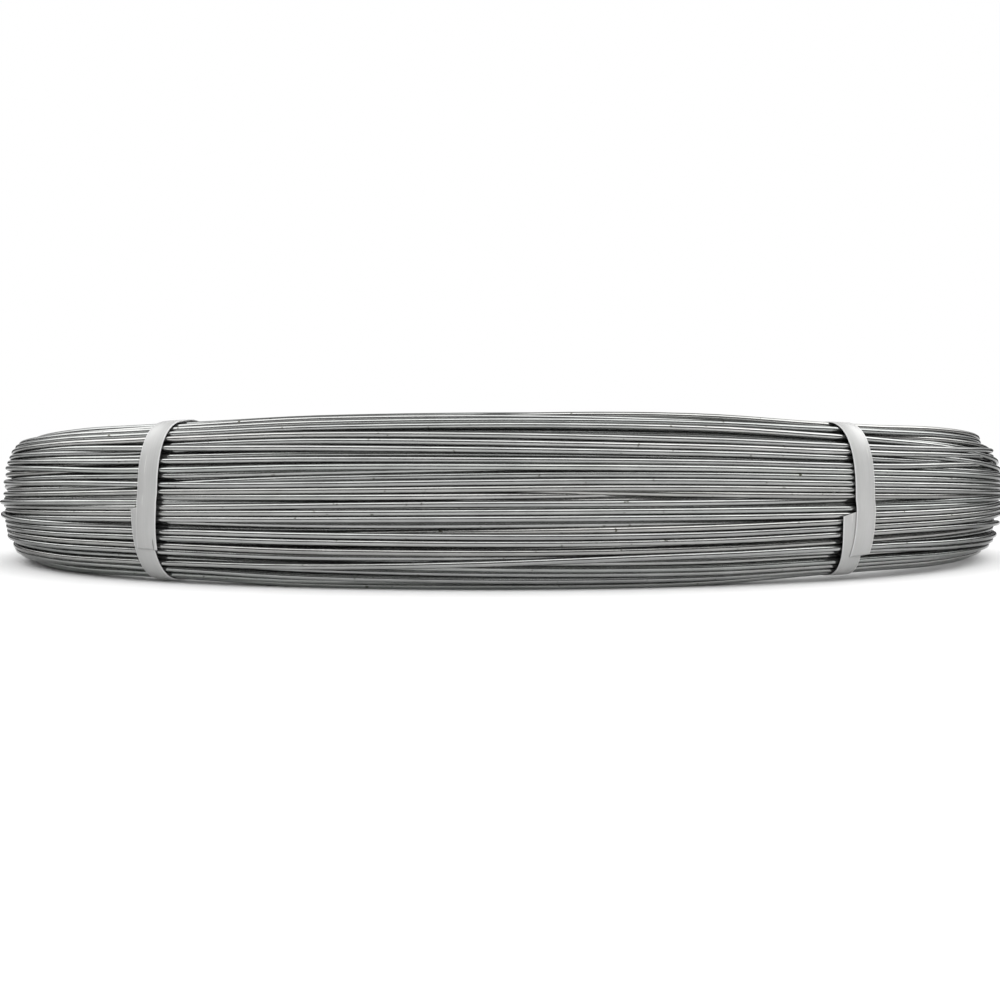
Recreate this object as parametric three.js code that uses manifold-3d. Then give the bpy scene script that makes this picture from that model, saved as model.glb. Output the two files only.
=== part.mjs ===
// A coil of drawn galvanised wire, laid flat and held by flat steel straps.
// Millimetres, +Z up. The coil's axis is Z, its resting plane is Z = 0 and its front is -Y.

import * as THREE from "three";
import { ParametricGeometry } from "three/addons/geometries/ParametricGeometry.js";
import { mergeVertices } from "three/addons/utils/BufferGeometryUtils.js";
import Module from "manifold-3d";

// ---- Driving dimensions ----

const wireDiameter = 3;
const turnGap = 0.08; // between two turns that lie side by side on the outer face
const coilOuterDiameter = 680;
const coilThickness = 38; // from the bore to the outer face
const coilHeight = 77.5;
const thinLeft = 1.2; // how much nearer each face lies to mid-height at the left side than at the front
const thinRight = 3.3; // and at the right side
const thinReach = 60; // degrees round the ring, from the front or back to where a side is at its thinnest
const sectionSquareness = 2.45; // exponent of the superellipse: 2 is an ellipse, more is squarer
const grooveDepth = 0.8; // between two turns that lie side by side
const turnWander = 4; // how far the turns drift up and down the outer face
const bedding = 0.2; // how far the lowest turns are flattened where they bear on the ground

const strapWidth = 12.7;
const strapThickness = 0.5;
const strapLap = 20.2; // overlap of a strap's two ends
const strapSqueeze = 0.8; // how far a strap pulls each face of the coil in
const squeezeReach = 85; // along the coil, from the strap to where its turns stand full again
const weldDiameter = 4;

const seatGap = 0.3; // between a strap and the turns, and between a strap's two lapped ends
const coilFacets = 12000; // shared out between the turns on show and the stations round the ring

// The straps in order round the ring from +X: how many degrees each lies past its even place, how far
// its tucked end lies below mid-height, and how far that end drifts sideways.
const straps = [
  { name: "strap_right", past: 0, drop: 5, drift: 6 },
  { name: "strap_back_right", past: 0.6, drop: 8, drift: 3 },
  { name: "strap_back_left", past: -0.5, drop: 4, drift: 7 },
  { name: "strap_left", past: 0.4, drop: 6.5, drift: 5 },
  { name: "strap_front_left", past: 1, drop: 2.4, drift: 4.5 },
  { name: "strap_front_right", past: -0.2, drop: 6.6, drift: 8 },
];

// ---- Worked out from them ----

const turnPitch = wireDiameter + turnGap;
const outerRadius = coilOuterDiameter / 2;
const boreRadius = outerRadius - coilThickness;
const centreRadius = outerRadius - coilThickness / 2;
const centreHeight = coilHeight / 2;
const fullHalfHeight = coilHeight / 2 + bedding;
const strapAngles = straps.map(
  (strap, k) => (k * 2 * Math.PI) / straps.length + THREE.MathUtils.degToRad(strap.past),
);
const widestDrift = Math.max(...straps.map((strap) => strap.drift));
// The turns run straight under a strap, over an angle that also takes in its drifting end.
const bedHalfAngle = Math.asin((strapWidth / 2 + widestDrift + seatGap) / boreRadius);

const steel = new THREE.MeshStandardMaterial({ color: 0xb4b8bc, roughness: 0.42, metalness: 0.75 });
const zinc = new THREE.MeshStandardMaterial({ color: 0xa7abae, roughness: 0.3, metalness: 0.9 });

const wasm = await Module();
wasm.setup();

// ---- Helpers ----

// A closed geometry as a solid, with nothing but its merged positions.
function solidFrom(geometry) {
  const bare = geometry.clone();
  bare.deleteAttribute("normal");
  bare.deleteAttribute("uv");
  const merged = mergeVertices(bare);
  return new wasm.Manifold(
    new wasm.Mesh({
      numProp: 3,
      vertProperties: merged.getAttribute("position").array,
      triVerts: new Uint32Array(merged.index.array),
    }),
  );
}

function geometryFrom(solid) {
  const mesh = solid.getMesh();
  const geometry = new THREE.BufferGeometry();
  geometry.setAttribute("position", new THREE.BufferAttribute(mesh.vertProperties, 3));
  geometry.setIndex(new THREE.BufferAttribute(mesh.triVerts, 1));
  geometry.computeVertexNormals();
  return geometry;
}

// 0 at the start, 1 at the end, level at both.
function ease(share) {
  return THREE.MathUtils.smoothstep(share, 0, 1);
}

// ---- The coil's section ----

// A superellipse round the middle of the section. It starts on the outer face and climbs to the top.
class SectionOutline extends THREE.Curve {
  constructor(halfWidth, halfHeight) {
    super();
    this.halfWidth = halfWidth;
    this.halfHeight = halfHeight;
    this.arcLengthDivisions = 720;
  }

  getPoint(share, target = new THREE.Vector2()) {
    const across = Math.cos(2 * Math.PI * share);
    const up = Math.sin(2 * Math.PI * share);
    const n = sectionSquareness;
    const reach =
      (Math.abs(across / this.halfWidth) ** n + Math.abs(up / this.halfHeight) ** n) ** (-1 / n);
    return target.set(reach * across, reach * up);
  }

  // The outward direction at a point of the outline: the gradient of its equation.
  outwardAt(point) {
    const n = sectionSquareness;
    const slope = (x, half) => (Math.sign(x) * Math.abs(x / half) ** (n - 1)) / half;
    return new THREE.Vector2(
      slope(point.x, this.halfWidth),
      slope(point.y, this.halfHeight),
    ).normalize();
  }
}

// How much of the straps' squeeze is felt at an angle round the ring: 1 under a strap, 0 past its reach.
function squeezeAt(angle) {
  const turn = 2 * Math.PI;
  const fromStraps = strapAngles.map((strapAngle) => {
    const apart = angle - strapAngle;
    return Math.abs(apart - turn * Math.round(apart / turn));
  });
  const reachAngle = squeezeReach / outerRadius;
  return 1 - ease((Math.min(...fromStraps) - bedHalfAngle) / (reachAngle - bedHalfAngle));
}

// How much nearer to mid-height each face lies than at the front and back.
function thinningAt(angle) {
  const toSide = Math.cos(angle) / Math.sin(THREE.MathUtils.degToRad(thinReach));
  return (toSide > 0 ? thinRight : thinLeft) * ease(Math.abs(toSide));
}

function outlineAt(angle) {
  const squeeze = strapSqueeze * squeezeAt(angle);
  return new SectionOutline(
    coilThickness / 2 - squeeze,
    fullHalfHeight - squeeze - thinningAt(angle),
  );
}

// ---- The coil: one ring whose ridges are its outer turns ----

const fullOutline = new SectionOutline(coilThickness / 2, fullHalfHeight);
const ridgeCount = Math.round(fullOutline.getLength() / turnPitch);
const pointsRound = 2 * ridgeCount; // a crest and a groove for each turn
const stationsPerSpan =
  2 * Math.max(1, Math.floor((coilFacets / (2 * pointsRound * straps.length) - 1) / 2));

// The stations round the ring at which the section is set out: both edges of each strap's bed, which
// share the section under the strap, and equal steps from one bed to the next.
function ringStations() {
  const stations = [];
  strapAngles.forEach((strapAngle, k) => {
    const nextAngle = k + 1 < straps.length ? strapAngles[k + 1] : strapAngles[0] + 2 * Math.PI;
    const start = strapAngle + bedHalfAngle;
    const step = (nextAngle - bedHalfAngle - start) / stationsPerSpan;
    for (let i = 0; i <= stationsPerSpan; i += 1) {
      let outlineAngle = start + i * step;
      if (i === 0) outlineAngle = strapAngle;
      if (i === stationsPerSpan) outlineAngle = nextAngle;
      stations.push({ angle: start + i * step, outline: outlineAt(outlineAngle) });
    }
  });
  return stations;
}

// How many turns the ridges have moved along the outline. One whole turn is gained each time round,
// so every ridge runs on into the next and the ridges are one continuous wire.
function turnsMoved(angle) {
  const wander = 0.6 * Math.sin(2 * angle) + 0.4 * Math.sin(5 * angle + 1);
  return angle / (2 * Math.PI) + (turnWander / turnPitch) * wander;
}

function makeCoil() {
  const stations = ringStations();

  function ringPoint(u, v, target) {
    let station = Math.round(u * stations.length);
    let point = Math.round(v * pointsRound);
    if (station === stations.length) {
      station = 0;
      point += 2; // back at the first station, each ridge has become its neighbour
    }
    const { angle, outline } = stations[station];
    const share = ((point % pointsRound) / 2 + turnsMoved(angle)) / ridgeCount;
    const place = outline.getPointAt(THREE.MathUtils.euclideanModulo(share, 1));
    if (point % 2 === 1) place.addScaledVector(outline.outwardAt(place), -grooveDepth);
    const radius = centreRadius + place.x;
    target.set(radius * Math.cos(angle), radius * Math.sin(angle), centreHeight + place.y);
  }

  const ring = solidFrom(new ParametricGeometry(ringPoint, stations.length, pointsRound));
  const ground = new THREE.BoxGeometry(2 * coilOuterDiameter, 2 * coilOuterDiameter, coilHeight);
  ground.translate(0, 0, -coilHeight / 2);
  const coil = new THREE.Mesh(geometryFrom(ring.subtract(solidFrom(ground))), zinc);
  coil.name = "wire_coil";
  return coil;
}

// ---- The straps ----

// A strap is a flat strip bent round the squeezed section. It starts with its tucked end on the outer
// face, runs down under the coil, up the bore, over the top and down again over its own start.
const lapRamp = 8; // length over which the strip climbs onto its tucked end
const stripStepsPerLoop = 42;
const weldSides = 8;

function makeStrap(strap, angle) {
  const outline = outlineAt(angle);
  const loop = outline.getLength();
  const stripLength = loop + strapLap;
  const layerStep = strapThickness + seatGap;

  // The middle of the strip and its outward direction, at a distance along it.
  function stripAt(distance) {
    const share = THREE.MathUtils.euclideanModulo(-(strap.drop + distance) / loop, 1);
    const place = outline.getPointAt(share);
    const outward = outline.outwardAt(place);
    const climb = layerStep * ease((distance - (loop - 2 * lapRamp)) / lapRamp);
    place.addScaledVector(outward, seatGap + strapThickness / 2 + climb);
    const sideways = -strap.drift * (1 - ease(distance / (loop / 4)));
    return { place, outward, sideways };
  }

  // Set out from the section's middle: X outwards from the coil's axis, Y along the turns, Z up.
  function toRing(stripPoint, across, height) {
    const { place, outward, sideways } = stripPoint;
    return new THREE.Vector3(
      place.x + outward.x * height,
      sideways + across,
      place.y + outward.y * height,
    );
  }

  const steps = Math.round((stripStepsPerLoop * stripLength) / loop);
  const strip = new THREE.BoxGeometry(stripLength, strapWidth, strapThickness, steps, 1, 1);
  const positions = strip.getAttribute("position");
  const vertex = new THREE.Vector3();
  for (let i = 0; i < positions.count; i += 1) {
    vertex.fromBufferAttribute(positions, i);
    const bent = toRing(stripAt(vertex.x + stripLength / 2), vertex.y, vertex.z);
    positions.setXYZ(i, bent.x, bent.y, bent.z);
  }
  let body = solidFrom(strip);
  if (body.volume() < 0) throw new Error("the strip is bent inside out");

  // Two spot welds hold the lapped ends together.
  for (const share of [0.3, 0.7]) {
    const { place, outward } = stripAt(loop + share * strapLap);
    const weld = new THREE.CylinderGeometry(
      weldDiameter / 2,
      weldDiameter / 2,
      layerStep,
      weldSides,
    );
    weld.applyQuaternion(
      new THREE.Quaternion().setFromUnitVectors(
        new THREE.Vector3(0, 1, 0),
        new THREE.Vector3(outward.x, 0, outward.y),
      ),
    );
    weld.translate(
      place.x - (outward.x * layerStep) / 2,
      -strap.drift / 2,
      place.y - (outward.y * layerStep) / 2,
    );
    body = body.add(solidFrom(weld));
  }

  const mesh = new THREE.Mesh(geometryFrom(body), steel);
  mesh.name = strap.name;
  // The turns run straight between the two edges of the bed, so they lie a little nearer the axis.
  const stand = new THREE.Group();
  mesh.position.set(centreRadius * Math.cos(bedHalfAngle), 0, centreHeight);
  stand.rotation.z = angle;
  stand.add(mesh);
  return stand;
}

// ---- The whole object ----

const wireCoil = new THREE.Group();
wireCoil.add(makeCoil());
straps.forEach((strap, k) => wireCoil.add(makeStrap(strap, strapAngles[k])));

export default wireCoil;
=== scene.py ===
"""A coil of bright galvanised wire held by flat steel straps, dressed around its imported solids.

The one wire is worked out as a chain of points, so many to each turn of the ring. At every station
round the ring the turns are discs in the coil's section, which push each other apart where they
overlap, while the chain keeps each turn smooth. That doesn't part them fully: neighbours still
overlap by 0.16 mm in the mean, and turns that change places pass through each other. The straps are
strips bent round the section that holds them.
"""
import math

import bpy
import numpy as np
from mathutils import Matrix


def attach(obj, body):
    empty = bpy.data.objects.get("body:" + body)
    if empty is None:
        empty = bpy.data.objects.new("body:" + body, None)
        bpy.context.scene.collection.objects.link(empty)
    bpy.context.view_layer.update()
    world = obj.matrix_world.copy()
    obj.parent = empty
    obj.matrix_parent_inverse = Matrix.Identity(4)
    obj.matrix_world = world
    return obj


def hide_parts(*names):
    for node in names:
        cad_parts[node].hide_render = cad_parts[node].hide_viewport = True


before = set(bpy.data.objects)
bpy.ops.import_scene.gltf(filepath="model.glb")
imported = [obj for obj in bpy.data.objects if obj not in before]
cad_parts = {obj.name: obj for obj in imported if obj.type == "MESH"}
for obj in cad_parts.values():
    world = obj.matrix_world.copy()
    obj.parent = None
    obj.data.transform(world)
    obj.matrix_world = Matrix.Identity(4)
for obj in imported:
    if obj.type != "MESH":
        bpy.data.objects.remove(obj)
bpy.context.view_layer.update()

# ---- The coil's sizes, in metres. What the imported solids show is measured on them. ----

WIRE_DIAMETER = 0.003
TURNS = 223
SECTION_SQUARENESS = 2.45  # exponent of the superellipse: 2 is an ellipse, more is squarer
BEDDING = 0.0002  # how far the lowest turns are flattened where they bear on the ground
STRAP_WIDTH = 0.0127
STRAP_THICKNESS = 0.0005
STRAP_LAP = 0.0202  # overlap of a strap's two ends
STRAP_SQUEEZE = 0.0008  # how far a strap pulls each face of the coil in
STRAP_BED = 0.018  # half the length over which the turns run straight under a strap
SQUEEZE_REACH = 0.085  # along the coil, from the strap to where its turns stand full again
STRAP_GAP = 0.0001  # between a strap and the turns, and between a strap's lapped ends
BORE_SHARE = 0.02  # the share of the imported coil's points that may lie nearer the axis than its bore

STRAP_ENDS = {  # how far each strap's tucked end lies below mid-height, and how far sideways
    "strap_right": (0.005, 0.006),
    "strap_back_right": (0.008, 0.003),
    "strap_back_left": (0.004, 0.007),
    "strap_left": (0.0065, 0.005),
    "strap_front_left": (0.0024, 0.0045),
    "strap_front_right": (0.0066, 0.008),
}
STRAP_FADES = {  # the share of its loop over which each strap comes back from the side
    "strap_right": 0.35,
    "strap_back_right": 0.5,
    "strap_back_left": 0.3,
    "strap_left": 0.4,
    "strap_front_left": 0.7,
    "strap_front_right": 0.27,
}


def node_points(name):
    """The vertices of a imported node, one row each."""
    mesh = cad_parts[name].data
    points = np.empty(len(mesh.vertices) * 3, np.float32)
    mesh.vertices.foreach_get("co", points)
    return points.reshape(-1, 3).astype(float)


coil_points = node_points("wire_coil")
coil_reach = np.hypot(coil_points[:, 0], coil_points[:, 1])
OUTER_RADIUS = float(coil_reach.max())
BORE_RADIUS = float(np.quantile(coil_reach, BORE_SHARE))
COIL_HEIGHT = float(coil_points[:, 2].max())
CENTRE_RADIUS = (OUTER_RADIUS + BORE_RADIUS) / 2
HALF_WIDTH = (OUTER_RADIUS - BORE_RADIUS) / 2
HALF_HEIGHT = (COIL_HEIGHT + BEDDING) / 2
CENTRE_HEIGHT = COIL_HEIGHT - HALF_HEIGHT


def strap_angle(name):
    """The angle round the coil's axis, from +X, of a packed strap's straight run up the bore, which is
    found in the middle half of its height."""
    points = node_points(name)
    reach = np.hypot(points[:, 0], points[:, 1])
    low = points[:, 2].min()
    height = points[:, 2].max() - low
    middle = np.abs(points[:, 2] - low - height / 2) < height / 4
    bore_run = points[middle & (reach < CENTRE_RADIUS)].mean(0)
    return math.atan2(bore_run[1], bore_run[0])


STRAP_ANGLES = {name: strap_angle(name) for name in STRAP_ENDS}

# ---- The section round the ring ----


def ease(share):
    """0 up to 0, 1 from 1, and the cubic 3s^2 - 2s^3 between."""
    share = np.clip(share, 0.0, 1.0)
    return share * share * (3 - 2 * share)


def turned(angle):
    """An angle brought between minus and plus half a turn."""
    return (np.asarray(angle) + np.pi) % (2 * np.pi) - np.pi


THIN_LEFT = 0.0012  # how much nearer to mid-height each face lies at the left side than at the front
THIN_RIGHT = 0.0033
THIN_REACH = math.radians(60)  # from the front or back to where a side is at its thinnest


def squeeze_share(angle):
    """How much of the straps' squeeze is felt: 1 under a strap, easing to 0 at its reach."""
    straps = np.array(list(STRAP_ANGLES.values()))
    away = np.abs(turned(np.asarray(angle)[..., None] - straps)).min(-1) * OUTER_RADIUS
    return 1 - ease((away - STRAP_BED) / (SQUEEZE_REACH - STRAP_BED))


def section_at(angle):
    """(half width, half height) of the section at an angle: the full section less the squeeze, and
    less a thinning that eases from the front and back to the sides with the cosine of the angle."""
    squeeze = STRAP_SQUEEZE * squeeze_share(angle)
    to_side = np.cos(angle) / math.sin(THIN_REACH)
    thin = np.where(to_side > 0, THIN_RIGHT, THIN_LEFT) * ease(np.abs(to_side))
    return HALF_WIDTH - squeeze, HALF_HEIGHT - squeeze - thin


# ---- The lay of the wire ----

STATIONS = 144  # round the ring
SEAM_ANGLE = math.radians(60)  # both ends of the wire lie at this angle, behind the coil
SEED = 23

SLACK_SPREAD = 0.3  # how quickly the wire changes from tight to loose, in cycles a turn
TURN_DRIFT = 0.12  # how quickly the wire strays through the section, in cycles a turn
TURN_SWAY = 0.2  # strength of the sway that comes round about once a turn
SWAY_SPREAD = 0.25  # how much quicker or slower than once a turn that sway comes

RELAX_ROUNDS = 120  # in which the turns find their places
PAIR_ROUNDS = 5  # rounds from one search for neighbouring turns to the next
PAIR_REACH = 1.25  # how near to each other neighbours lie, in wire diameters
PUSHES = 2  # how often in a round overlapping turns are pushed apart
PUSH_SHARE = 0.9  # the share of an overlap that a push takes away
TINY = 1e-12  # added to a length before dividing by it, because it may be nothing
STIFFNESS = 120.0  # of the wire against short bends, while the turns still find their places
LAST_STIFFNESS = 60.0  # the same once they only settle
END_STIFFNESS = 10.0  # the same for the last smoothing
SETTLING = 0.75  # the share of the rounds after which the turns only settle
OUTWARD_STEP = 0.08e-3  # how far the outer turns spring outwards in a round
OUTER_LEVEL = 0.75  # which turns those are: from this share of the way to the edge of their room
INSET = 0.0005  # how far below the section's edge the tightest stretches of wire stay
SPRING = 0.0022  # how far beyond it the loosest stretches may spring, between straps
LOOSEST = 0.07  # the share of the wire that springs

station_angles = SEAM_ANGLE + np.arange(STATIONS) * 2 * np.pi / STATIONS


def wander(random, cycles, spread):
    """Smooth noise along the whole wire: random waves whose strength is a bell over cycles a turn."""
    count = TURNS * STATIONS
    frequency = np.fft.rfftfreq(count, 1 / STATIONS)
    strength = np.exp(-0.5 * ((frequency - cycles) / spread) ** 2)
    waves = random.normal(size=frequency.size) + 1j * random.normal(size=frequency.size)
    noise = np.fft.irfft(waves * strength, count)
    return noise / noise.std()


def laid_wire(random, room):
    """Where each turn starts in the section, as (turn, station, 2). The wire strays in both
    directions, and at each station its turns are ranked by their distance from the middle and set
    out at the square root of that rank's share of the section, which fills it evenly."""
    path = np.stack(
        [
            wander(random, 0, TURN_DRIFT) + TURN_SWAY * wander(random, 1, SWAY_SPREAD)
            for _ in range(2)
        ],
        axis=-1,
    ).reshape(TURNS, STATIONS, 2)
    distance = np.hypot(path[..., 0], path[..., 1])
    rank = distance.argsort(0).argsort(0)
    share = np.sqrt((rank + 0.5) / TURNS)
    facing = path / distance[..., None]
    edge = (np.abs(facing) ** SECTION_SQUARENESS).sum(-1) ** (-1 / SECTION_SQUARENESS)
    return facing * (share * edge)[..., None] * room


def wire_room(random):
    """The half section open to the middle of each turn at each station: the section less half a
    wire, less an inset on the tighter stretches and more a spring on the loosest, between straps."""
    edge = np.stack(section_at(station_angles), -1) - WIRE_DIAMETER / 2
    slack = wander(random, 0, SLACK_SPREAD)
    tightness = (slack.argsort().argsort() / slack.size).reshape(TURNS, STATIONS)
    spring = SPRING * (1 - tightness / LOOSEST).clip(0, 1) * (1 - squeeze_share(station_angles))
    inset = INSET * tightness * (1 - squeeze_share(station_angles))
    return edge, edge + (spring - inset)[..., None]


def near_pairs(path, within):
    """Every two turns whose centres are nearer than that: (one, other, station)."""
    first, second = np.triu_indices(TURNS, 1)
    found = []
    for station in range(STATIONS):
        place = path[:, station].astype(np.float32)
        apart = place[first] - place[second]
        close = np.nonzero((apart * apart).sum(1) < within * within)[0]
        found.append(np.stack([first[close], second[close], np.full(close.size, station)]))
    return np.concatenate(found, axis=1)


def push_apart(path, pairs):
    """Two turns that overlap each move half of the push's share of the overlap away from the other."""
    one, other, station = pairs
    apart = path[one, station] - path[other, station]
    length = np.sqrt((apart * apart).sum(1)) + TINY
    overlap = np.maximum(WIRE_DIAMETER - length, 0)
    move = apart * (0.5 * PUSH_SHARE * overlap / length)[:, None]
    count = TURNS * STATIONS
    for axis in range(2):
        total = np.bincount(one * STATIONS + station, move[:, axis], count)
        total -= np.bincount(other * STATIONS + station, move[:, axis], count)
        path[..., axis] += total.reshape(TURNS, STATIONS)


def straighten(path, edge, stiffness):
    """The path with its short bends taken out, as an elastic wire would. It is measured in shares of
    the section, so the turns still swell between straps, and each wave along the chain is divided
    by 1 + stiffness (2 sin(half its phase step))^4."""
    count = TURNS * STATIONS
    wave = np.arange(count // 2 + 1)
    kept = 1 / (1 + stiffness * (2 * np.sin(np.pi * wave / count)) ** 4)
    spectrum = np.fft.rfft((path / edge).reshape(count, 2), axis=0) * kept[:, None]
    return np.fft.irfft(spectrum, count, axis=0).reshape(path.shape) * edge


def hold_in(path, room):
    """A turn outside its room is brought back to the superellipse along the line to the middle. The
    level, which is 1 on that superellipse, says how far out each turn lay."""
    level = (np.abs(path / room) ** SECTION_SQUARENESS).sum(-1) ** (1 / SECTION_SQUARENESS)
    path /= np.maximum(level, 1)[..., None]
    return level


def lay_wire():
    """The wire's centre line as (turn, station, 2): across and up from the middle of the section."""
    random = np.random.default_rng(SEED)
    edge, room = wire_room(random)
    path = laid_wire(random, edge)
    pairs = None
    for relax_round in range(RELAX_ROUNDS):
        if relax_round % PAIR_ROUNDS == 0:
            pairs = near_pairs(path, PAIR_REACH * WIRE_DIAMETER)
        settling = relax_round > SETTLING * RELAX_ROUNDS
        path = straighten(path, edge, LAST_STIFFNESS if settling else STIFFNESS)
        level = hold_in(path, room)
        if not settling:
            reach = np.hypot(path[..., 0], path[..., 1]).clip(WIRE_DIAMETER)
            path += OUTWARD_STEP * path / reach[..., None] * (level > OUTER_LEVEL)[..., None]
        for _ in range(PUSHES):
            push_apart(path, pairs)
            hold_in(path, room)
    return straighten(path, edge, END_STIFFNESS)


# ---- Mesh making ----

MAP_MARGIN = 0.05  # between two folds of a bake map, as a share of a fold's height
MAP_BAND = 0.9  # the share of a fold's height that the band fills
MAP_END = 0.4  # radius of an end face in a bake map, as a share of a fold's height


def new_piece(name, points, quads, material, caps):
    """A smooth mesh object on the root from numpy arrays: points (n, 3), quads (m, 4) and end faces
    of any size."""
    mesh = bpy.data.meshes.new(name)
    faces = np.asarray(quads, np.int32).reshape(-1, 4)
    corners = np.concatenate([faces.ravel(), *[np.asarray(cap, np.int32) for cap in caps]])
    counts = np.concatenate([np.full(len(faces), 4), [len(cap) for cap in caps]]).astype(np.int32)
    mesh.vertices.add(len(points))
    mesh.vertices.foreach_set("co", np.ascontiguousarray(points, np.float32).ravel())
    mesh.loops.add(len(corners))
    mesh.loops.foreach_set("vertex_index", corners.astype(np.int32))
    mesh.polygons.add(len(counts))
    starts = np.concatenate([[0], np.cumsum(counts)[:-1]]).astype(np.int32)
    mesh.polygons.foreach_set("loop_start", starts)
    mesh.polygons.foreach_set("use_smooth", np.ones(len(counts), bool))
    mesh.update(calc_edges=True)
    mesh.materials.append(material)
    piece = bpy.data.objects.new(name, mesh)
    bpy.context.scene.collection.objects.link(piece)
    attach(piece, "root")
    return piece


def grid_corners(rows, columns):
    """The row and the column of each corner of a grid's faces, both of shape (faces, 4). The last
    column joins the first, where the column's number runs on to the count of columns."""
    row = np.arange(rows - 1)[:, None, None] + np.array([0, 0, 1, 1])
    column = np.arange(columns)[None, :, None] + np.array([0, 1, 1, 0])
    row, column = np.broadcast_arrays(row, column)
    return row.reshape(-1, 4), column.reshape(-1, 4)


def set_bake_map(mesh, row, column, columns, fold, caps):
    """The UV map named OFBake, to bake through. The band is folded after every so many rows, and
    each fold lies across the map, one above the other. The end faces are discs above them."""
    first = row.min(1, keepdims=True)
    folds = first.max() // fold + 2
    across = (first % fold + row - first) / fold
    up = (first // fold + MAP_MARGIN + MAP_BAND * column / columns) / folds
    places = [np.stack([across, up], -1).reshape(-1, 2)]
    for number, cap in enumerate(caps):
        turn = np.arange(len(cap)) * 2 * np.pi / len(cap)
        middle = np.array([0.5 + number, folds - 0.5]) / folds
        places.append(middle + MAP_END / folds * np.stack([np.cos(turn), np.sin(turn)], -1))
    layer = mesh.uv_layers.new(name="OFBake")
    layer.uv.foreach_set("vector", np.concatenate(places).astype(np.float32).ravel())


def set_attribute(mesh, name, vectors):
    """A vector for each point of the mesh, which a material reads by name."""
    layer = mesh.attributes.new(name, "FLOAT_VECTOR", "POINT")
    layer.data.foreach_set("vector", np.ascontiguousarray(vectors, np.float32).ravel())


def colour_ramp(tree, value, stops, blend="LINEAR"):
    """The colour that a value has between stops of (value, colour), where a lone number is a grey."""
    made = tree.nodes.new("ShaderNodeValToRGB")
    made.color_ramp.interpolation = blend
    elements = made.color_ramp.elements
    for element, (position, colour) in zip(elements, (stops[0], stops[-1])):
        element.position = position
        element.color = (*np.broadcast_to(colour, 3), 1)
    for position, colour in stops[1:-1]:
        elements.new(position).color = (*np.broadcast_to(colour, 3), 1)
    tree.links.new(value, made.inputs["Fac"])
    return made.outputs["Color"]


def start_material(name, attribute):
    """A new material and its shader, with makers of the nodes its colours come from. Noise is read
    at a stretched copy of the named attribute: (along the stock, then the two ways across it)."""
    material = bpy.data.materials.new(name)
    material.use_nodes = True
    tree = material.node_tree
    nodes, links = tree.nodes, tree.links
    shader = nodes["Principled BSDF"]
    place = nodes.new("ShaderNodeAttribute")
    place.attribute_name = attribute

    def noise(scale, detail, stretch):
        mapping = nodes.new("ShaderNodeMapping")
        mapping.inputs["Scale"].default_value = stretch
        texture = nodes.new("ShaderNodeTexNoise")
        texture.inputs["Scale"].default_value = scale
        texture.inputs["Detail"].default_value = detail
        links.new(place.outputs["Vector"], mapping.inputs["Vector"])
        links.new(mapping.outputs["Vector"], texture.inputs["Vector"])
        return texture.outputs["Fac"]

    def layer(scale, detail, stretch, stops):
        return colour_ramp(tree, noise(scale, detail, stretch), stops)

    def mix(kind, first, second, share=None):
        """The second colour laid over the first, all of it or by a share that comes from a node."""
        made = nodes.new("ShaderNodeMix")
        made.data_type = "RGBA"
        made.blend_type = kind
        made.inputs["Factor"].default_value = 1.0
        if share is not None:
            links.new(share, made.inputs["Factor"])
        links.new(first, made.inputs["A"])
        links.new(second, made.inputs["B"])
        return made.outputs["Result"]

    def bump(scale, detail, stretch, strength, depth):
        made = nodes.new("ShaderNodeBump")
        made.inputs["Strength"].default_value = strength
        made.inputs["Distance"].default_value = depth
        links.new(noise(scale, detail, stretch), made.inputs["Height"])
        links.new(made.outputs["Normal"], shader.inputs["Normal"])

    return material, shader, layer, mix, bump


# ---- The wire ----

WIRE_SIDES = 10
WIRE_PIECES = 5  # stretches of wire, one behind the other, that are each a piece of their own

# A layer is (scale of its noise, its detail, stretch along and across the wire, stops of its ramp).
WIRE_TONES = (
    3.0,
    2.0,
    (1, 1, 1),
    ((0.3, (0.320, 0.324, 0.324)), (0.5, (0.380, 0.387, 0.380)), (0.7, (0.450, 0.448, 0.441))),
)
WIRE_TINTS = (
    0.7,
    1.0,
    (1, 1, 1),
    ((0.38, (1.0, 0.985, 0.972)), (0.5, (1.0, 1.0, 1.0)), (0.62, (0.982, 1.0, 0.985))),
)
WIRE_BLOOM = (60.0, 3.0, (1, 1, 1), ((0.35, 0.82), (0.7, 1.0)))
WIRE_SPECKS = (420.0, 1.0, (1, 1, 1), ((0.74, 1.0), (0.80, (0.25, 0.25, 0.2))))
WIRE_DULLNESS = (9.0, 3.0, (1, 1, 1), ((0.3, 0.12), (0.7, 0.20)))
WIRE_SCUFFS = (150.0, 4.0, (0.2, 1, 1), ((0.62, 0.0), (0.72, 0.12)))
WIRE_DRAW_LINES = (900.0, 2.0, (0.08, 1, 1), 0.12, 0.0001)  # their noise, strength and depth
WIRE_METALLIC = 0.96
WIRE_GRAZING = (0.36, 0.36, 0.36, 1)  # how much of the room it mirrors where it is seen edge on


def wire_material():
    """Bright zinc on drawn wire: metal with a soft shine, greyer, greener or browner by stretches,
    with a bloom, scuffs where turns have rubbed, fine draw lines along it and a few dark specks."""
    material, shader, layer, mix, bump = start_material("galvanised_wire", "along_wire")
    links = material.node_tree.links
    shader.inputs["Metallic"].default_value = WIRE_METALLIC
    shader.inputs["Specular Tint"].default_value = WIRE_GRAZING
    colour = layer(*WIRE_TONES)
    for look in (WIRE_TINTS, WIRE_BLOOM, WIRE_SPECKS):
        colour = mix("MULTIPLY", colour, layer(*look))
    links.new(colour, shader.inputs["Base Color"])
    links.new(mix("ADD", layer(*WIRE_DULLNESS), layer(*WIRE_SCUFFS)), shader.inputs["Roughness"])
    bump(*WIRE_DRAW_LINES)
    return material


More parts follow.
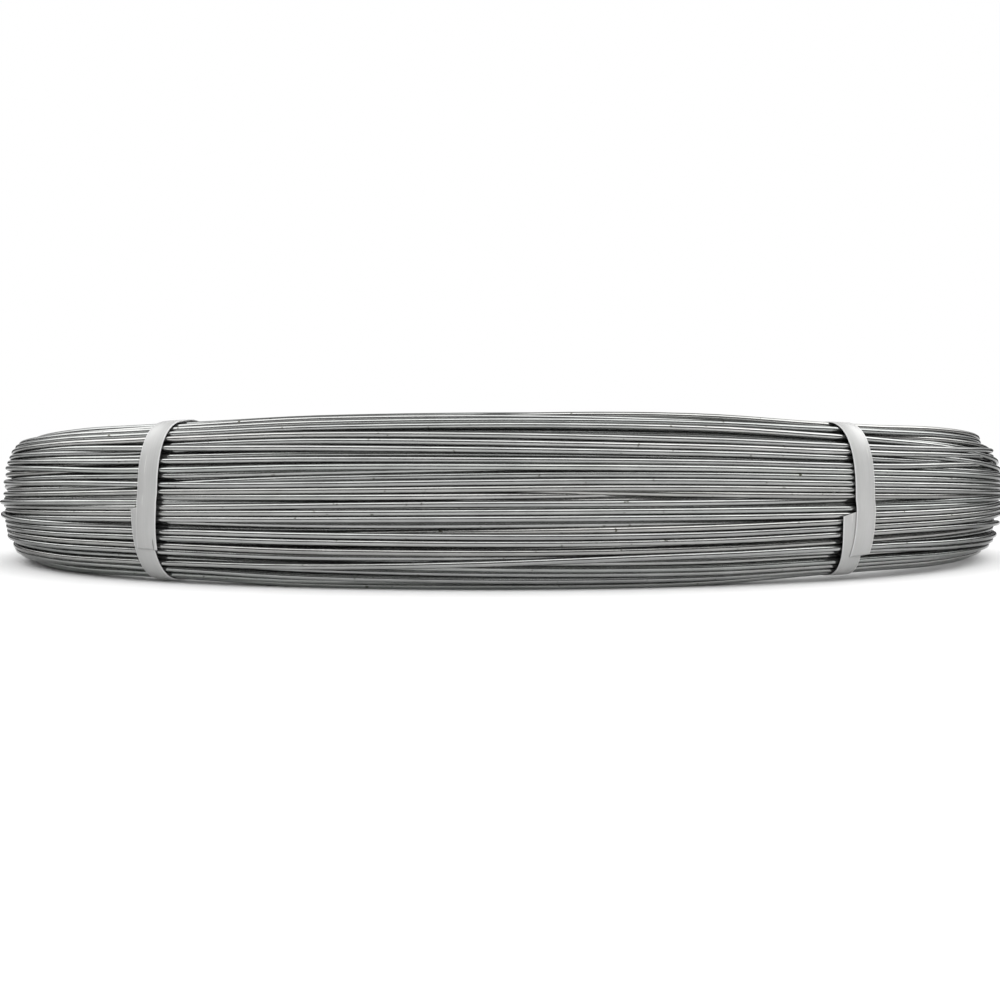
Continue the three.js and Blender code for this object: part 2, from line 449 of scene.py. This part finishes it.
def make_wire(material):
    """Round wire along the laid path, which is raised onto the ground wherever it would dip below it.
    A point of its skin is the centre line plus a circle in the section's plane: radius times (cos of
    the way round outwards, sin of it upwards)."""
    path = lay_wire().reshape(-1, 2)
    index = np.arange(len(path))
    angle = SEAM_ANGLE + index * 2 * np.pi / STATIONS
    radius = CENTRE_RADIUS + path[:, 0]
    height = np.maximum(CENTRE_HEIGHT + path[:, 1], WIRE_DIAMETER / 2)
    around = np.arange(WIRE_SIDES) * 2 * np.pi / WIRE_SIDES
    skin_out = WIRE_DIAMETER / 2 * np.cos(around)
    skin_up = WIRE_DIAMETER / 2 * np.sin(around)
    length = index * 2 * np.pi * CENTRE_RADIUS / STATIONS
    cuts = np.linspace(0, TURNS, WIRE_PIECES + 1).round().astype(int) * STATIONS
    for k in range(WIRE_PIECES):
        part = slice(cuts[k], min(cuts[k + 1] + 1, len(path)))
        reach = radius[part, None] + skin_out
        points = np.stack(
            [
                reach * np.cos(angle[part, None]),
                reach * np.sin(angle[part, None]),
                height[part, None] + skin_up,
            ],
            axis=-1,
        )
        row, column = (each[:, ::-1] for each in grid_corners(len(points), WIRE_SIDES))
        quads = row * WIRE_SIDES + column % WIRE_SIDES
        start = np.arange(WIRE_SIDES)
        caps = (start, start[::-1] + (len(points) - 1) * WIRE_SIDES)
        piece = new_piece(f"wire_turns_{k + 1}", points.reshape(-1, 3), quads, material, caps)
        set_bake_map(piece.data, row, column, WIRE_SIDES, STATIONS, caps)
        along = np.broadcast_arrays(length[part, None], skin_out[None, :], skin_up[None, :])
        set_attribute(piece.data, "along_wire", np.stack(along, -1))
        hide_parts("wire_coil")


# ---- The straps ----

STRIP_STEPS = 241  # places along a strip
OUTLINE_STEPS = 2000  # places round the section's outline
STRIP_FOLD = 80  # steps of strip in one fold of its bake map
LAP_RAMP = 0.006  # length over which the strip climbs onto its tucked end
LAP_CLEAR = 0.001  # how far before the tucked end it has climbed
CUT_FADE = 0.012  # length of strip over which the slant of a cut end fades out

STRAP_LIFTS = {  # how far each strap stands off the shoulder between the top and the bore
    "strap_right": 0.0008,
    "strap_back_right": 0.0015,
    "strap_back_left": 0.0,
    "strap_left": 0.0012,
    "strap_front_left": 0.002,
    "strap_front_right": 0.0,
}
STRAP_LEANS = {"strap_front_left": 0.002}  # how far sideways the outer end leans over its lap
LIFT_PLACE = 0.009  # along the strap, from the coil's crest to where it stands off most
LIFT_SPREAD = 0.005
STRAP_NICKS = {"strap_front_left": (0.0025, 0.0044)}  # (distance from the outer end, sideways)
NO_NICK = (1.0, 1.0)  # too far off to show
MARKS_APART = 3.0  # along the noise from one strap to the next, so that no two carry the same marks
STRAP_CUTS = {  # how much each strap's tucked end and its outer end are cut askew
    "strap_right": (-0.08, 0.05),
    "strap_back_right": (0.10, -0.06),
    "strap_back_left": (0.04, 0.12),
    "strap_left": (-0.12, 0.03),
    "strap_front_left": (-0.24, 0.05),
    "strap_front_right": (-0.24, -0.10),
}
STRAP_ROUNDING = 0.00012  # of the strip's long edges

# Layers like the wire's, stretched along and across the strip.
STRAP_CLOUDS = (70.0, 3.0, (0.5, 1, 1), ((0.3, (0.277, 0.279, 0.275)), (0.7, (0.323, 0.322, 0.317))))
STRAP_LINES = (1500.0, 2.0, (0.012, 1, 1), ((0.35, 0.96), (0.65, 1.0)))
STRAP_SCRATCHES = (700.0, 2.0, (0.05, 1, 1), ((0.69, 0.0), (0.73, 0.10)))
STRAP_BARE = (200.0, 2.0, (0.3, 1, 1), ((0.3, 0.36), (0.6, 0.44)))
# Painted shade: the nick is not cut into the strip, its shade is painted on as a near-black spot.
STRAP_NICK_SHADE = (400.0, 1.0, (1, 1, 1), ((0.3, 0.03), (0.7, 0.06)))
STRAP_DULLNESS = (110.0, 3.0, (0.4, 1, 1), ((0.3, 0.38), (0.7, 0.54)))
STRAP_GRAIN = (900.0, 3.0, (0.1, 1, 1), 0.12, 0.00008)  # its noise, strength and depth
STRAP_METALLIC = 0.1
EDGE_WEAR = (0.0006, 0.0003)  # in from a long edge: where the wear starts, and where it is full
NICK_REACH = (0.00018, 0.00032)  # across the nick: where its full painted shade ends, and where it has faded out
NICK_STRETCH = (0.1, 1, 1)  # of its distances: along, then across the strip


def strap_material():
    """Dull grey steel strip: rolling lines along it, cloudy patches, hair scratches, bright edges
    where the rolled edge is rubbed bare, and a nick at one corner whose shade is painted near-black."""
    material, shader, layer, mix, bump = start_material("steel_strap", "along_strip")
    nodes, links = material.node_tree.nodes, material.node_tree.links

    def distance_mask(attribute, stretch, inner, outer):
        """1 where the stretched attribute is shorter than inner, 0 where longer than outer."""
        place = nodes.new("ShaderNodeAttribute")
        place.attribute_name = attribute
        scaled = nodes.new("ShaderNodeVectorMath")
        scaled.operation = "MULTIPLY"
        scaled.inputs[1].default_value = stretch
        length = nodes.new("ShaderNodeVectorMath")
        length.operation = "LENGTH"
        mask = nodes.new("ShaderNodeMapRange")
        mask.inputs["From Min"].default_value = outer
        mask.inputs["From Max"].default_value = inner
        links.new(place.outputs["Vector"], scaled.inputs[0])
        links.new(scaled.outputs["Vector"], length.inputs[0])
        links.new(length.outputs["Value"], mask.inputs["Value"])
        return mask.outputs["Result"]

    colour = mix("MULTIPLY", layer(*STRAP_CLOUDS), layer(*STRAP_LINES))
    colour = mix("ADD", colour, layer(*STRAP_SCRATCHES))
    plain = distance_mask("along_strip", (0, 1, 0), *(STRAP_WIDTH / 2 - wear for wear in EDGE_WEAR))
    colour = mix("MIX", layer(*STRAP_BARE), colour, plain)
    # Painted shade: where the nick lies, the colour turns near-black.
    nick = distance_mask("from_nick", NICK_STRETCH, *NICK_REACH)
    links.new(mix("MIX", colour, layer(*STRAP_NICK_SHADE), nick), shader.inputs["Base Color"])
    shader.inputs["Metallic"].default_value = STRAP_METALLIC
    links.new(layer(*STRAP_DULLNESS), shader.inputs["Roughness"])
    bump(*STRAP_GRAIN)
    return material


def outline_table(half_width, half_height):
    """The section's outline from the outer face upwards, by equal angles seen from its middle:
    places, outward directions and the length run so far."""
    angle = np.linspace(0, 2 * np.pi, OUTLINE_STEPS + 1)
    facing = np.stack([np.cos(angle), np.sin(angle)], -1)
    half = np.array([half_width, half_height])
    n = SECTION_SQUARENESS
    place = facing * ((np.abs(facing / half) ** n).sum(-1) ** (-1 / n))[:, None]
    slope = np.sign(place) * np.abs(place / half) ** (n - 1) / half
    outward = slope / np.linalg.norm(slope, axis=-1)[:, None]
    run = np.concatenate([[0], np.cumsum(np.linalg.norm(np.diff(place, axis=0), axis=-1))])
    return place, outward, run


def make_strap(name, material):
    """A strip bent round the squeezed section: from its tucked end down, under the coil, up the bore,
    over the top and down again over its own start. A point of it is the outline's point at that
    distance, moved outwards by the gap, by half the strip, by a step once it climbs its start and by a
    bell exp(-t^2 / 2) at the inner shoulder. Sideways it starts off by its drift, comes back with the
    cubic of ease, and may lean off again over the lap in a straight line. Near an end, a slanted cut
    moves the points of one edge further along than those of the other."""
    angle = STRAP_ANGLES[name]
    half_width, half_height = section_at(angle)
    place, outward, run = outline_table(float(half_width), float(half_height))
    loop = run[-1]
    distance = np.linspace(0, loop + STRAP_LAP, STRIP_STEPS)
    end_drop, drift = STRAP_ENDS[name]
    half, thick, edge = STRAP_WIDTH / 2, STRAP_THICKNESS / 2, STRAP_ROUNDING
    section = np.array(
        [
            (-half + edge, -thick),
            (half - edge, -thick),
            (half, -thick + edge),
            (half, thick - edge),
            (half - edge, thick),
            (0, thick),
            (-half + edge, thick),
            (-half, thick - edge),
            (-half, -thick + edge),
        ]
    )
    tucked_cut, outer_cut = STRAP_CUTS[name]
    slant = tucked_cut * (1 - ease(distance / CUT_FADE))
    slant += outer_cut * (1 - ease((distance[-1] - distance) / CUT_FADE))
    along = distance[:, None] + slant[:, None] * section[:, 0]
    at = (-(end_drop + along)) % loop
    crest = loop / 4
    centre_out, centre_up = (np.interp(at, run, place[:, axis]) for axis in range(2))
    facing_out, facing_up = (np.interp(at, run, outward[:, axis]) for axis in range(2))
    climb = (STRAP_THICKNESS + STRAP_GAP) * ease((along - (loop - LAP_RAMP - LAP_CLEAR)) / LAP_RAMP)
    lift = STRAP_LIFTS[name] * np.exp(-0.5 * ((at - crest - LIFT_PLACE) / LIFT_SPREAD) ** 2)
    away = STRAP_GAP + STRAP_THICKNESS / 2 + climb + lift + section[:, 1]
    away = away / np.hypot(facing_out, facing_up)
    out = CENTRE_RADIUS + centre_out + facing_out * away
    up = centre_up + facing_up * away
    across = section[:, 0] - drift * (1 - ease(along / (STRAP_FADES[name] * loop)))
    across -= STRAP_LEANS.get(name, 0.0) * ((along - loop) / STRAP_LAP).clip(0)
    points = np.stack(
        [
            out * np.cos(angle) - across * np.sin(angle),
            out * np.sin(angle) + across * np.cos(angle),
            up + CENTRE_HEIGHT,
        ],
        axis=-1,
    )
    rows, columns = points.shape[:2]
    row, column = grid_corners(rows, columns)
    quads = row * columns + column % columns
    caps = (np.arange(columns)[::-1], np.arange(columns) + (rows - 1) * columns)
    piece = new_piece(name + "_strip", points.reshape(-1, 3), quads, material, caps)
    set_bake_map(piece.data, row, column, columns, STRIP_FOLD, caps)
    side = np.broadcast_to(section[:, 1], along.shape)
    over = np.broadcast_to(section[:, 0], along.shape)
    shift = MARKS_APART * list(STRAP_CUTS).index(name)
    set_attribute(piece.data, "along_strip", np.stack([along + shift, over, side], -1))
    nick_along, nick_across = STRAP_NICKS.get(name, NO_NICK)
    from_nick = [along - distance[-1] + nick_along, over - nick_across, 0 * side]
    set_attribute(piece.data, "from_nick", np.stack(from_nick, -1))
    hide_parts(name)


# ---- Floor, light and camera ----

CAMERA_DISTANCE = 2.235 * OUTER_RADIUS  # from the coil's axis
CAMERA_RISE = 0.0045  # above the coil's mid-height
SENSOR = 36.0  # its width in mm
LENS = 36.0  # its focal length in mm
NEAREST_SEEN = 0.01
CAMERA_PITCH = math.radians(-0.57)
CAMERA_YAW = math.radians(0.14)
CAMERA_ROLL = math.radians(0.17)

ROOM_TILT = (-0.03, 0.40)  # how much lower the room's bright band lies to the right, and to the back
ROOM_BANDS = (  # (height of a direction plus its tilt, brightness of the room there)
    (0.37, 0.10),
    (0.51, 3.20),
    (0.80, 3.20),
    (0.95, 0.35),
)
ROOM_DEPTHS = (  # (how far to the back a direction points, share of the brightness there)
    (0.15, 0.96),
    (0.42, 1.45),
    (0.58, 1.45),
    (0.75, 0.30),
)
ROOM_SIDE = 0.11  # how much brighter the room is to the right than in the middle, as a share
SOFT_LIGHTS = {  # name: (tilt from straight down towards the back, turn to the left, strength)
    "overhead": (0.0, 0.0, 1.2),
    "front": (math.radians(80), math.radians(12), 3.4),
}
SOFT_LIGHT_SPREAD = math.radians(50)
FLOOR_TONE = 0.62
FLOOR_ROUGHNESS = 0.9
FLOOR_REACH = 12.0  # from the coil's axis to the floor's edges
BACKDROP = (1, 1, 1, 1)


def make_floor():
    """A plain pale floor that ends out of sight."""
    mesh = bpy.data.meshes.new("floor")
    reach = FLOOR_REACH
    corners = [(-reach, -reach, 0), (reach, -reach, 0), (reach, reach, 0), (-reach, reach, 0)]
    mesh.from_pydata(corners, [], [(0, 1, 2, 3)])
    floor = bpy.data.objects.new("floor", mesh)
    bpy.context.scene.collection.objects.link(floor)
    paper = bpy.data.materials.new("pale_floor")
    paper.use_nodes = True
    shader = paper.node_tree.nodes["Principled BSDF"]
    shader.inputs["Base Color"].default_value = (FLOOR_TONE, FLOOR_TONE, FLOOR_TONE, 1)
    shader.inputs["Roughness"].default_value = FLOOR_ROUGHNESS
    mesh.materials.append(paper)


def make_room():
    """The room that lights the coil and shows in its wire: a bright band all round, at a height that
    is tilted a little, brighter to the back, dim far back and a little brighter to the right. The
    camera itself sees a plain white backdrop."""
    world = bpy.data.worlds.new("studio")
    world.use_nodes = True
    tree = world.node_tree
    nodes, links = tree.nodes, tree.links
    direction = nodes.new("ShaderNodeTexCoord").outputs["Generated"]
    tilted = nodes.new("ShaderNodeVectorMath")
    tilted.operation = "DOT_PRODUCT"
    tilted.inputs[1].default_value = (*ROOM_TILT, 1)
    links.new(direction, tilted.inputs[0])
    split = nodes.new("ShaderNodeSeparateXYZ")
    links.new(direction, split.inputs[0])
    lit = nodes.new("ShaderNodeVectorMath")
    lit.operation = "MULTIPLY"
    links.new(colour_ramp(tree, tilted.outputs["Value"], ROOM_BANDS, "EASE"), lit.inputs[0])
    links.new(colour_ramp(tree, split.outputs["Y"], ROOM_DEPTHS, "EASE"), lit.inputs[1])
    side = nodes.new("ShaderNodeMapRange")
    side.inputs["From Min"].default_value = -1.0
    side.inputs["To Min"].default_value = 1 - ROOM_SIDE
    side.inputs["To Max"].default_value = 1 + ROOM_SIDE
    links.new(split.outputs["X"], side.inputs["Value"])
    room = nodes["Background"]
    links.new(lit.outputs["Vector"], room.inputs["Color"])
    links.new(side.outputs["Result"], room.inputs["Strength"])
    backdrop = nodes.new("ShaderNodeBackground")
    backdrop.inputs["Color"].default_value = BACKDROP
    choose = nodes.new("ShaderNodeMixShader")
    links.new(nodes.new("ShaderNodeLightPath").outputs["Is Camera Ray"], choose.inputs[0])
    links.new(room.outputs[0], choose.inputs[1])
    links.new(backdrop.outputs[0], choose.inputs[2])
    links.new(choose.outputs[0], nodes["World Output"].inputs["Surface"])
    bpy.context.scene.world = world
    bpy.context.scene.view_settings.view_transform = "Standard"


def make_lights():
    """Wide, soft lights that don't show in the wire: they light the floor and the straps."""
    for name, (tilt, turn, strength) in SOFT_LIGHTS.items():
        softbox = bpy.data.lights.new(name, "SUN")
        softbox.angle = SOFT_LIGHT_SPREAD
        softbox.energy = strength
        light = bpy.data.objects.new(name, softbox)
        light.rotation_euler = (tilt, 0, turn)
        light.visible_glossy = False
        bpy.context.scene.collection.objects.link(light)


def make_camera():
    """A camera in front of the coil, level with its middle and close by."""
    data = bpy.data.cameras.new("camera")
    data.sensor_width = SENSOR
    data.lens = LENS
    data.clip_start = NEAREST_SEEN
    camera = bpy.data.objects.new("camera", data)
    looking = (
        Matrix.Rotation(CAMERA_YAW, 4, "Z")
        @ Matrix.Rotation(math.pi / 2 + CAMERA_PITCH, 4, "X")
        @ Matrix.Rotation(-CAMERA_ROLL, 4, "Z")
    )
    place = Matrix.Translation((0, -CAMERA_DISTANCE, CENTRE_HEIGHT + CAMERA_RISE))
    camera.matrix_world = place @ looking
    bpy.context.scene.collection.objects.link(camera)
    bpy.context.scene.camera = camera


make_camera()
make_floor()
make_room()
make_lights()
make_wire(wire_material())
strap_finish = strap_material()
for strap in STRAP_ENDS:
    make_strap(strap, strap_finish)
